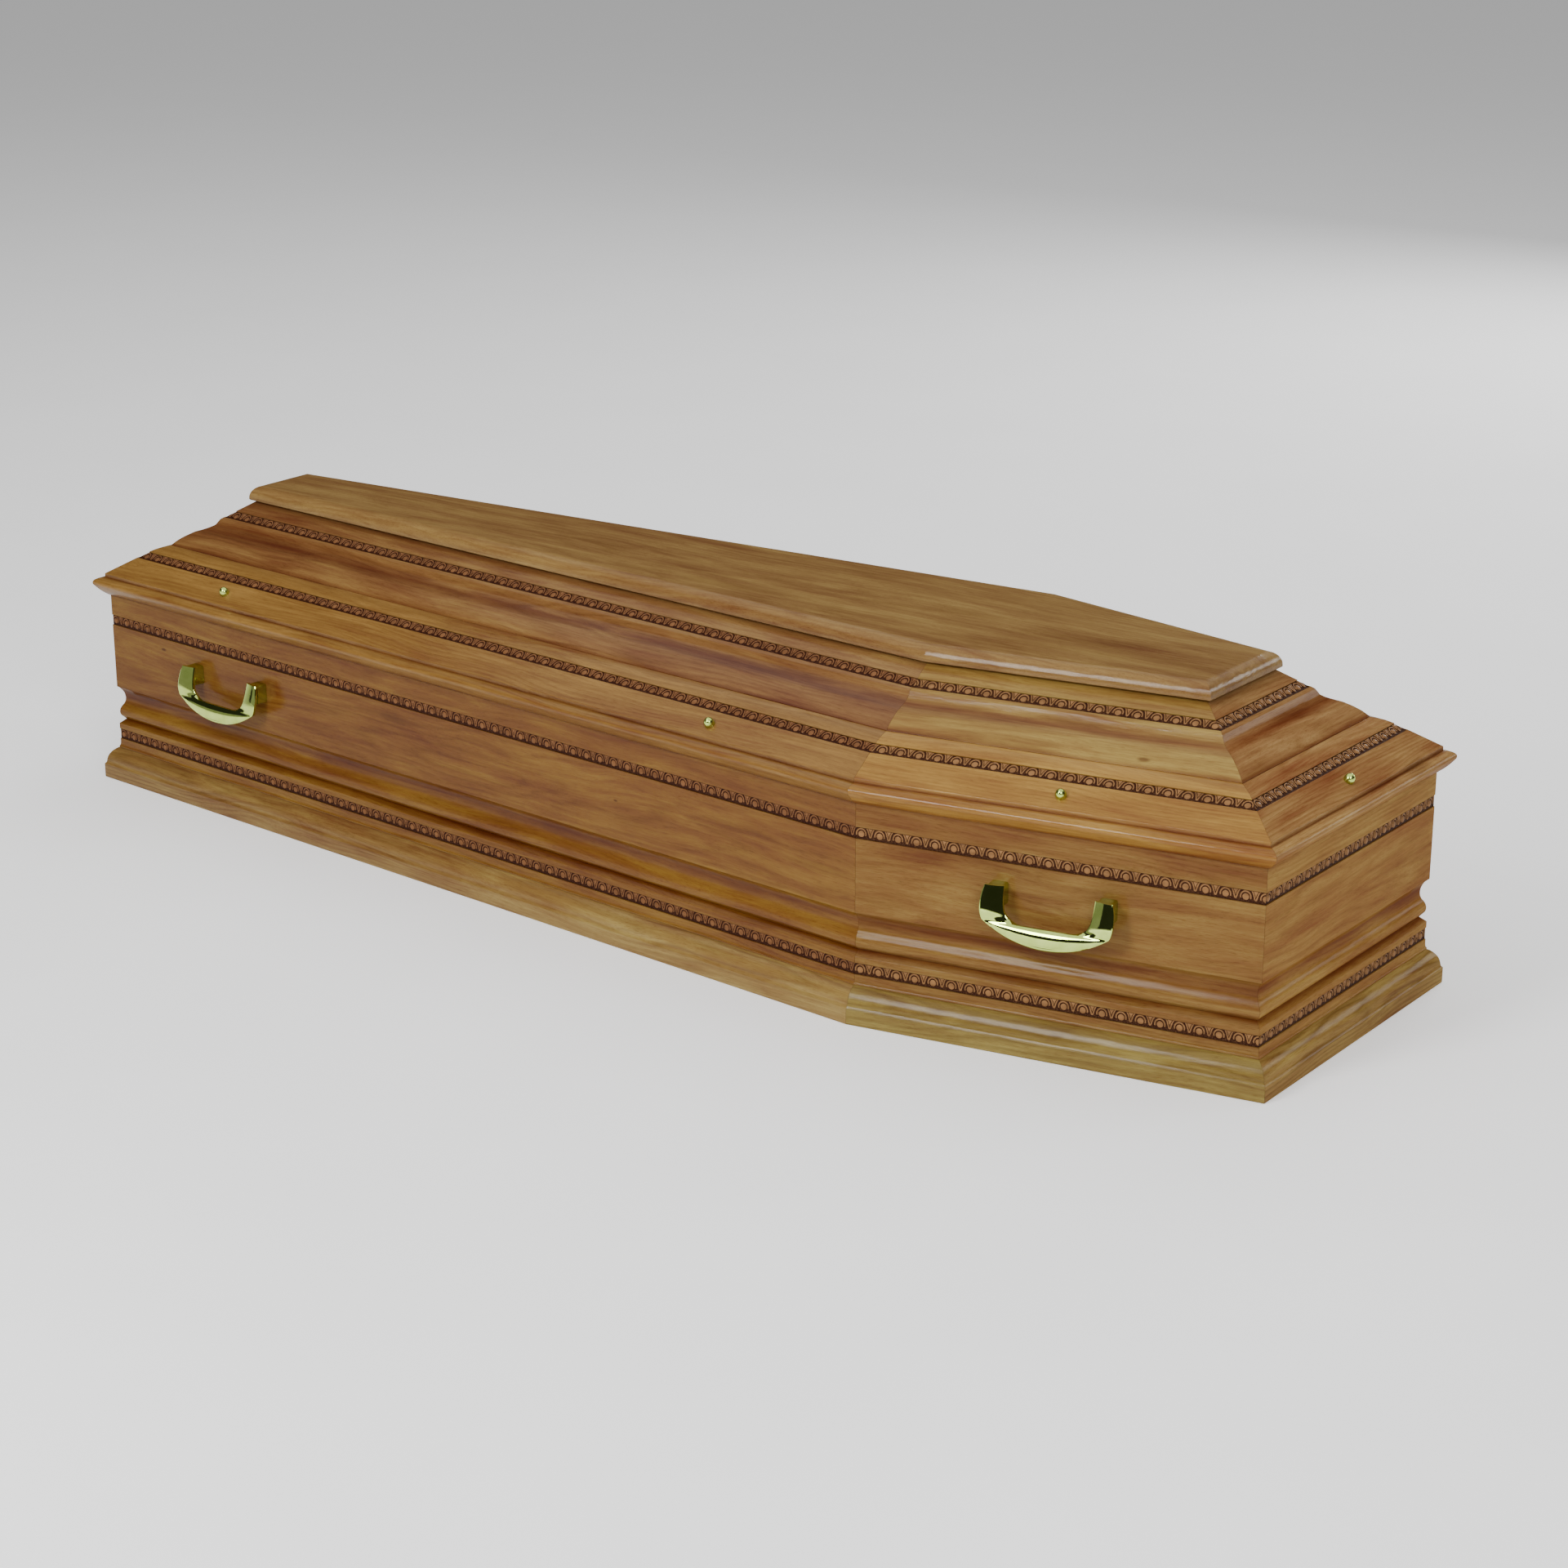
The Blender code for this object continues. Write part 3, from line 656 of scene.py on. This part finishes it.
def lid_rim_section():
    nose_foot = (0.88 * NOSE_PROUD, NOSE_FOOT)
    drip = (JOINT + 0.0005, LID_FOOT - 0.0006)
    section = [(-WALL, LID_FOOT), (JOINT, LID_FOOT), (JOINT, drip[1]), drip]
    section += curve(
        drip,
        (0.0060, LID_FOOT + 0.0021),
        (0.0121, LID_FOOT + 0.0081),
        nose_foot,
        10,
    )
    section += curve(
        nose_foot,
        (1.14 * NOSE_PROUD, NOSE_FOOT + 0.0045),
        (0.98 * NOSE_PROUD, STEP_FOOT - 0.0010),
        (RIM_EDGE[0] + 0.0002, STEP_FOOT),
    )
    section += [(RIM_EDGE[0], RIM_EDGE[1], 0.0012)]
    section += channel(RIM_BAND, RIM_BAND_TOP)
    section += curve(
        RIM_BAND_TOP,
        (-0.0501, 0.3437),
        (-0.0582, 0.3469),
        CREASE,
        10,
    )
    section += [(CREASE[0], CREASE[1] - LID_THICKNESS), (-WALL, LID_FOOT + RIM_BEARING_HEIGHT)]
    return eased(section)


# Spots of painted shade in the rim's recesses: the cove under the nose and the inner corner of the
# step.
rim_shade_spots = ((0.002, 0.278, 0.011), (RIM_EDGE[0], STEP_FOOT, 0.004))
for number, name in enumerate(SIDES):
    # Painted light and shade: the head end's tints are lighter and the foot sides' darker, set so each
    # side matches how it looks in its light, on top of the wood's own colour.
    tones = (tint(165, 129, 62), tint(141, 103, 46), tint(115, 66, 30))
    if name == "head":
        tones = (tint(172, 141, 88), tint(147, 112, 69), tint(120, 73, 44))
    if name.endswith("foot"):
        tones = (tint(145, 110, 57), tint(124, 90, 43), tint(103, 58, 29))
    varnish = 0.12 if name == "head" else 0.34
    sheen = 0.0 if name == "head" else 0.05
    marks = ((0.350, -0.0099, 0.3057, 0.0160, 0.45),) if name == "head" else ()
    rim_finish = oak(
        f"lid_rim_oak_{name}", 51 + number, *tones,
        heart=(-0.05, -0.42), ring=0.0045, varnish=varnish, sheen=sheen, marks=marks,
    )
    side = plan_side(name)
    rim = mitred_board(f"oak_lid_rim_{name}", side, lid_rim_section(), rim_finish, rim_shade_spots)
    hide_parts(f"lid_rim_{name}")
    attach(rim, "root")
    egg = RIM_EGG_HEAD if name.endswith("head") else RIM_EGG
    lay_carving(f"carving_rim_{name}", name, RIM_BAND, RIM_BAND_TOP, egg)


# Lid slope: six mitred and varnished oak mouldings glued behind the rim, with a small lip, an ogee
# that rises to an arris, a carved band and a flat slope. The top board rests on their upper edge.

ARRIS = (-0.11932, 0.385065)
CROWN = (-0.16082, 0.412165)
TOP_BEARING = 0.0200
BAND_ABOVE_ARRIS = 0.0050
SLOPE_EGG = 0.3720


def slope_point(distance):
    """A point of the flat slope at a distance above the arris."""
    slope = (Vector(CROWN) - Vector(ARRIS)).normalized()
    return tuple(Vector(ARRIS) + slope * distance)


def lid_slope_section():
    face = CREASE[0] - JOINT
    lip = (face, CREASE[1] + 0.0009)
    bearing = CROWN[0] - TOP_BEARING
    section = [(face, CREASE[1] - LID_THICKNESS), (face, lip[1], 0.0004)]
    section += curve(lip, (-0.0738, 0.3564), (-0.0794, 0.3606), (-0.0925, 0.3677), 12)
    section += curve((-0.0925, 0.3677), (-0.1030, 0.3712), (-0.1098, 0.3738), (-0.1146, 0.3776), 12)
    section += [(ARRIS[0], ARRIS[1], 0.0030)]
    section += channel(slope_point(BAND_ABOVE_ARRIS), slope_point(BAND_ABOVE_ARRIS + BAND_HEIGHT))
    section += [CROWN, (bearing, CROWN[1]), (bearing, CROWN[1] - LID_THICKNESS)]
    return eased(section)


# Spots of painted shade in the slope's recesses: the hollow of the ogee and the crease where it meets
# the rim.
slope_shade_spots = ((-0.105, 0.3715, 0.016), (-0.0675, 0.3480, 0.006))
for number, name in enumerate(SIDES):
    # Painted shade: the foot sides' tints are darker, set so they match how they look in their light,
    # on top of the wood's own colour.
    tones = (tint(164, 142, 76), tint(141, 113, 57), tint(115, 76, 36))
    if name == "head":
        tones = (tint(162, 130, 84), tint(139, 103, 64), tint(113, 69, 43))
    if name.endswith("foot"):
        tones = (tint(142, 112, 62), tint(121, 86, 48), tint(98, 57, 31))
    varnish = 0.12 if name == "head" else 0.34
    sheen = 0.0 if name == "head" else 0.05
    marks = ((0.330, 0.0745, 0.3565, 0.0045, 0.8),) if name == "left_head" else ()
    slope_finish = oak(
        f"lid_slope_oak_{name}", 71 + number, *tones,
        heart=(-0.16, -0.31), ring=0.0060, varnish=varnish, sheen=sheen, marks=marks,
    )
    side = plan_side(name)
    section = lid_slope_section()
    slope = mitred_board(f"oak_lid_slope_{name}", side, section, slope_finish, slope_shade_spots)
    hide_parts(f"lid_slope_{name}")
    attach(slope, "root")
    band_low = slope_point(BAND_ABOVE_ARRIS)
    band_high = slope_point(BAND_ABOVE_ARRIS + BAND_HEIGHT)
    lay_carving(f"carving_slope_{name}", name, band_low, band_high, SLOPE_EGG)


# Top board of the lid: one wide varnished oak board, glued on the upper edge of the slope. Its
# edge is worked to an ovolo and overhangs the slope all round.

TOP_FOOT = 0.412465
TOP_BOARD = 0.0205
TOP_OVERHANG = 0.0100
TOP_EDGE_RADIUS = 0.0175
TOP_EDGE_STEPS = 14
TOP_ARRIS = 0.0012


def plan_corner(index, offset):
    """A corner of the plan moved outward by an offset, on the floor."""
    side = plan_side(SIDES[index])
    return side.place @ Vector((-offset * math.tan(side.start_turn / 2), -offset, 0.0))


def top_board(name, finish):
    """Rings up the ovolo edge, closed by the flat underside and the flat top."""
    edge = CROWN[0] + TOP_OVERHANG
    spring = TOP_FOOT + TOP_BOARD - TOP_EDGE_RADIUS
    rings = [(edge - TOP_ARRIS, TOP_FOOT), (edge, TOP_FOOT + TOP_ARRIS)]
    for i in range(TOP_EDGE_STEPS + 1):
        angle = math.pi / 2 * i / TOP_EDGE_STEPS
        inset = TOP_EDGE_RADIUS * (1 - math.cos(angle))
        rings.append((edge - inset, spring + TOP_EDGE_RADIUS * math.sin(angle)))
    board = bmesh.new()
    loops = []
    for offset, height in rings:
        lift = Vector((0.0, 0.0, height))
        loops.append([board.verts.new(plan_corner(i, offset) + lift) for i in range(6)])
    for lower, upper in zip(loops, loops[1:]):
        for i in range(6):
            j = (i + 1) % 6
            board.faces.new((lower[i], lower[j], upper[j], upper[i]))
    board.faces.new(list(reversed(loops[0])))
    board.faces.new(loops[-1])
    made = smooth_object(name, board, Matrix.Identity(4), finish)
    for line in made.data.edges:
        first, second = (made.data.vertices[v].co for v in line.vertices)
        if abs(first.z - second.z) > 1e-6:
            line.use_edge_sharp = True
    return made


top_finish = oak(
    "lid_top_oak", 92,
    tint(146, 119, 70), tint(128, 98, 57), tint(106, 70, 40),
    heart=(0.06, -0.62), ring=0.0070, sheen=0.02,
)
top = top_board("oak_lid_top", top_finish)
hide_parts("lid_top_board")
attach(top, "root")


# Screw caps: eight turned brass caps, polished and slightly pointed, over the screws that hold
# the lid down. They sit square on the sloping fascia of the rim.

CAP_RADIUS = 0.0068
CAP_HEIGHT = 0.0105
CAP_FLANGE = 0.0012
CAP_SIDES = 32
CAP_FROM_CORNER = 0.2440


def polished_brass(name, dullness):
    """Yellow brass under clear lacquer, with faint polishing marks and a little unevenness."""
    made = bpy.data.materials.new(name)
    made.use_nodes = True
    tree = made.node_tree
    shader = tree.nodes["Principled BSDF"]
    local = add_node(tree, "ShaderNodeTexCoord", {}, "Object")
    clouds = stretched_noise(tree, local, (60.0, 60.0, 60.0), 3.0, 0.6)
    marks = stretched_noise(tree, local, (900.0, 200.0, 900.0), 2.0)
    tone = ramp(tree, clouds, [(0.3, tint(186, 207, 104)), (0.7, tint(205, 225, 126))])
    tree.links.new(tone, shader.inputs["Base Color"])
    rough = calculate(tree, "ADD", calculate(tree, "MULTIPLY", marks, 0.05), dullness)
    tree.links.new(rough, shader.inputs["Roughness"])
    bump = add_node(tree, "ShaderNodeBump", {"Height": marks, "Distance": 0.00003, "Strength": 0.4})
    tree.links.new(bump, shader.inputs["Normal"])
    shader.inputs["Metallic"].default_value = 1.0
    return made


cap_brass = polished_brass("satin_brass", 0.20)


def screw_cap(name, side, distance):
    """Turn a cap about its axis and set it on the middle of the fascia."""
    profile = [(0.0, 0.0), (CAP_RADIUS, 0.0), (CAP_RADIUS, CAP_FLANGE)]
    profile += curve(
        (CAP_RADIUS, CAP_FLANGE),
        (1.03 * CAP_RADIUS, 0.70 * CAP_HEIGHT),
        (0.42 * CAP_RADIUS, 0.96 * CAP_HEIGHT),
        (0.0, CAP_HEIGHT),
        16,
    )
    cap = bmesh.new()
    rings = []
    for radius, height in profile:
        if radius < 1e-9:
            rings.append([cap.verts.new((0.0, 0.0, height))] * CAP_SIDES)
            continue
        turns = [2 * math.pi * i / CAP_SIDES for i in range(CAP_SIDES)]
        circle = [(radius * math.cos(a), radius * math.sin(a), height) for a in turns]
        rings.append([cap.verts.new(place) for place in circle])
    for lower, upper in zip(rings, rings[1:]):
        for i in range(CAP_SIDES):
            j = (i + 1) % CAP_SIDES
            around = []
            for corner in (lower[i], lower[j], upper[j], upper[i]):
                if corner not in around:
                    around.append(corner)
            cap.faces.new(around)
    middle = Vector(RIM_EDGE).lerp(Vector(RIM_BAND), 0.5)
    run = RIM_EDGE[0] - RIM_BAND[0]
    rise = RIM_BAND[1] - RIM_EDGE[1]
    square = Vector((0.0, -rise, run)).normalized()
    seat = Matrix.Translation(Vector((distance, -middle.x, middle.y)) + square * JOINT)
    place = side.place @ seat @ square.to_track_quat("Z", "Y").to_matrix().to_4x4()
    return smooth_object(name, cap, place, cap_brass, 50)


def mirrored(hand, whole, from_foot):
    """Distance along a side: the right-hand sides run the other way."""
    return from_foot if hand == "left" else whole - from_foot


cap_places = {}
for hand in ("left", "right"):
    long_side = plan_side(f"{hand}_foot").length
    short_side = plan_side(f"{hand}_head").length
    near_foot = mirrored(hand, long_side, CAP_FROM_CORNER)
    near_shoulder = mirrored(hand, long_side, long_side - CAP_FROM_CORNER)
    cap_places[f"{hand}_foot"] = (f"{hand}_foot", near_foot)
    cap_places[f"{hand}_middle"] = (f"{hand}_foot", near_shoulder)
    cap_places[f"{hand}_head"] = (f"{hand}_head", short_side / 2)
cap_places["head_end"] = ("head", HEAD_WIDTH / 2)
cap_places["foot_end"] = ("foot", FOOT_WIDTH / 2)
for where, (side_name, distance) in cap_places.items():
    cap = screw_cap(f"brass_cap_{where}", plan_side(side_name), distance)
    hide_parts(f"screw_cap_{where}")
    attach(cap, "root")


# Handles: four cast and polished brass handles. The bar is a crowned lens with a beaded foot; its
# arms lean back to the panel and turn towards each other, on two lugs bolted through the wall.

HANDLE_TOP = 0.0725
HANDLE_PLATE = 0.0036
HANDLE_REACH = 0.0285
BAR_CROWN = 0.0061
ARM_CROWN = 0.0010
ARM_LEAN = 0.275
ARM_TWIST = 0.0037
CORNER = (0.0785, -0.0407)
BAR_TOP = -0.0415
LUG_WIDTH = 0.0210
LUG_HEIGHT = 0.0270
LUG_SIDES = 24
HANDLE_FROM_FOOT = 0.2600
BAR_STATIONS = 24
ARM_STATIONS = 16
ACROSS = (
    0.0, 0.05, 0.10, 0.15, 0.20, 0.26, 0.32, 0.38, 0.46,
    0.56, 0.68, 0.76, 0.795, 0.83, 0.88, 0.92, 0.96, 1.0,
)
CROWNED = (
    0.0, 0.248, 0.44, 0.59, 0.704, 0.805, 0.885, 0.936, 0.978,
    0.997, 1.0, 0.99, 0.80, 0.985, 0.92, 0.84, 0.72, 0.576,
)

handle_brass = polished_brass("mirror_brass", 0.02)


def handle_half():
    """Outer and inner edge of half the handle, from the middle of the bar up to the top of an arm."""
    half_arm = ARM_STATIONS // 2
    outer = [(0.0, -0.0657)]
    outer += curve(outer[0], (0.0340, -0.0657), (0.0600, -0.0535), CORNER, BAR_STATIONS)
    outer += curve(CORNER, (0.0810, -0.0372), (0.0827, -0.0300), (0.0827, -0.0212), half_arm)
    outer += curve(outer[-1], (0.0827, -0.0140), (0.0815, -0.0065), (0.0790, 0.0), half_arm)
    inner = [(0.031 * i / BAR_STATIONS, BAR_TOP) for i in range(BAR_STATIONS + 1)]
    inner += curve(inner[-1], (0.0430, -0.0415), (0.0500, -0.0360), (0.0530, -0.0290), half_arm)
    inner += curve(inner[-1], (0.0555, -0.0230), (0.0563, -0.0120), (0.0563, 0.0), half_arm)
    return outer, inner


def bar_depth(x, y, outer):
    """The bar is a lens, crowned between its straight top and its round foot, with a bead there."""
    foot = float(np.interp(x, [p[0] for p in outer], [p[1] for p in outer]))
    tallness = max(0.0, BAR_TOP - foot)
    if tallness < 1e-6:
        return HANDLE_REACH
    crown = float(np.interp((BAR_TOP - y) / tallness, ACROSS, CROWNED))
    return HANDLE_REACH + BAR_CROWN * crown * tallness / (BAR_TOP - outer[0][1])


def arm_depth(turn, share, y):
    """An arm leans back to the panel at its top and turns a little towards the other arm."""
    height = max(0.0, y + 0.0315)
    lean = ARM_LEAN * height * height / (height + 0.004)
    fade = min(1.0, turn / 0.25)
    crown = ARM_CROWN * 4 * share * (1 - share)
    edge = 0.0005 if share in (0.0, 1.0) else 0.0
    return HANDLE_REACH - lean + fade * (crown - ARM_TWIST * (1 - share) - edge)


def handle(name, side, distance):
    """Run the front round the U, give it a back, then fuse the two lugs to its arms."""
    outer_half, inner_half = handle_half()
    band = bmesh.new()
    stations = []
    last = BAR_STATIONS + ARM_STATIONS
    for i in range(-last, last + 1):
        sign = -1 if i < 0 else 1
        outer = Vector(outer_half[abs(i)])
        inner = Vector(inner_half[abs(i)])
        front = []
        for share in ACROSS:
            point = inner.lerp(outer, share)
            if abs(i) <= BAR_STATIONS:
                depth = bar_depth(point.x, point.y, outer_half[:BAR_STATIONS + 1])
            else:
                depth = arm_depth((abs(i) - BAR_STATIONS) / ARM_STATIONS, share, point.y)
            front.append((sign * point.x, point.y, depth))
        ring = [band.verts.new(place) for place in front]
        back = front[::2] + [front[-1]]
        ring += [band.verts.new((x, y, z - HANDLE_PLATE)) for x, y, z in reversed(back)]
        stations.append(ring)
    count = len(stations[0])
    for lower, upper in zip(stations, stations[1:]):
        for i in range(count):
            j = (i + 1) % count
            band.faces.new((lower[i], lower[j], upper[j], upper[i]))
    band.faces.new(stations[0])
    band.faces.new(list(reversed(stations[-1])))
    place = side.place @ Matrix((
        (1, 0, 0, distance),
        (0, 0, -1, 0),
        (0, 1, 0, PANEL_FOOT + HANDLE_TOP),
        (0, 0, 0, 1),
    ))
    made = smooth_object(name, band, place, handle_brass)
    made.modifiers.clear()
    for sign in (-1, 1):
        centre = sign * (outer_half[-1][0] + inner_half[-1][0]) / 2
        lug = bmesh.new()
        rings = []
        for depth, share in ((JOINT, 1.0), (0.010, 0.99), (HANDLE_REACH - 0.0130, 0.98)):
            ring = []
            for corner in range(LUG_SIDES):
                angle = 2 * math.pi * (corner + 0.5) / LUG_SIDES
                wide = LUG_WIDTH / 2 * share
                high = LUG_HEIGHT / 2 * share
                x = centre + wide * math.copysign(abs(math.cos(angle)) ** 0.2, math.cos(angle))
                y = -0.0006 - high + high * math.copysign(abs(math.sin(angle)) ** 0.2, math.sin(angle))
                ring.append(lug.verts.new((x, y, depth)))
            rings.append(ring)
        for lower, upper in zip(rings, rings[1:]):
            for i in range(LUG_SIDES):
                j = (i + 1) % LUG_SIDES
                lug.faces.new((lower[i], lower[j], upper[j], upper[i]))
        lug.faces.new(list(reversed(rings[0])))
        lug.faces.new(rings[-1])
        cutter = smooth_object(f"{name}_lug", lug, place, handle_brass)
        join = made.modifiers.new("lug", "BOOLEAN")
        join.operation = "UNION"
        join.object = cutter
        bpy.context.view_layer.update()
        shapes = bpy.context.evaluated_depsgraph_get()
        fused = bpy.data.meshes.new_from_object(made.evaluated_get(shapes))
        made.modifiers.clear()
        made.data = fused
        bpy.data.objects.remove(cutter)
    made.data.name = name
    made.data.set_sharp_from_angle(angle=math.radians(24))
    return made


for hand in ("left", "right"):
    long_side = plan_side(f"{hand}_foot")
    short_side = plan_side(f"{hand}_head")
    for where, side, distance in (
        ("foot", long_side, mirrored(hand, long_side.length, HANDLE_FROM_FOOT)),
        ("head", short_side, short_side.length / 2),
    ):
        grip = handle(f"brass_handle_{hand}_{where}", side, distance)
        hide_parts(f"handle_{hand}_{where}")
        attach(grip, "root")


# Studio: a plain pale floor that runs out of sight, the camera at the height of a standing person,
# soft lights round the coffin, and a long white card that the handles mirror.

FOCAL_PIXELS = 3995
PICTURE_PIXELS = 1920

floor_mesh = bmesh.new()
bmesh.ops.create_grid(floor_mesh, x_segments=1, y_segments=1, size=60.0)
floor_finish = bpy.data.materials.new("pale_floor")
floor_finish.use_nodes = True
floor_tree = floor_finish.node_tree
floor_shader = floor_tree.nodes["Principled BSDF"]
floor_place = add_node(floor_tree, "ShaderNodeTexCoord", {}, "Object")
floor_clouds = stretched_noise(floor_tree, floor_place, (3.0, 3.0, 3.0), 3.0)
floor_tone = ramp(floor_tree, floor_clouds, [(0.3, grey(0.86)), (0.7, grey(0.89))])
floor_tree.links.new(floor_tone, floor_shader.inputs["Base Color"])
floor_shader.inputs["Roughness"].default_value = 0.9
floor_shader.inputs["Emission Color"].default_value = (1.0, 1.0, 1.0, 1.0)
floor_shader.inputs["Emission Strength"].default_value = 0.4
floor = smooth_object("floor", floor_mesh, Matrix.Translation((0, 0, -0.0003)), floor_finish)
floor.modifiers.clear()

camera_data = bpy.data.cameras.new("camera")
camera_data.sensor_width = 36.0
camera_data.lens = 36.0 * FOCAL_PIXELS / PICTURE_PIXELS
camera_data.clip_end = 150.0
camera = bpy.data.objects.new("camera", camera_data)
camera.location = (2.558, -3.278, 1.540)
camera.rotation_euler = (math.radians(71.21), 0.0, math.radians(36.66))
bpy.context.scene.collection.objects.link(camera)
bpy.context.scene.camera = camera


def soft_light(name, place, target, wide, high, watts):
    """A rectangular white light of a given size in metres, turned to its target."""
    light_data = bpy.data.lights.new(name, "AREA")
    light_data.shape = "RECTANGLE"
    light_data.size = wide
    light_data.size_y = high
    light_data.energy = watts
    light = bpy.data.objects.new(name, light_data)
    light.location = place
    light.rotation_euler = (Vector(target) - Vector(place)).to_track_quat("-Z", "Y").to_euler()
    bpy.context.scene.collection.objects.link(light)


soft_light("key_softbox", (3.3, -2.7, 2.4), (0.0, 0.0, 0.2), 1.4, 1.4, 80)
soft_light("front_softbox", (-0.15, -3.2, 2.2), (0.5, 0.0, 0.2), 0.9, 1.6, 92)
soft_light("back_softbox", (3.0, 4.0, 1.5), (0.0, 0.0, 0.2), 1.4, 1.0, 40)
soft_light("far_softbox", (0.0, 5.0, 1.8), (0.0, 0.0, 0.2), 1.8, 1.0, 90)
soft_light("ceiling_softbox", (0.0, 0.0, 4.2), (0.0, 0.0, 0.0), 8.0, 8.0, 240)
soft_light("white_card", (-4.0, -4.0, 1.0), (-4.0, 0.0, 1.0), 6.0, 1.8, 10)

studio = bpy.data.worlds.new("studio")
studio.use_nodes = True
studio.node_tree.nodes["Background"].inputs["Color"].default_value = (1.0, 1.0, 1.0, 1.0)
studio.node_tree.nodes["Background"].inputs["Strength"].default_value = 0.03
bpy.context.scene.world = studio
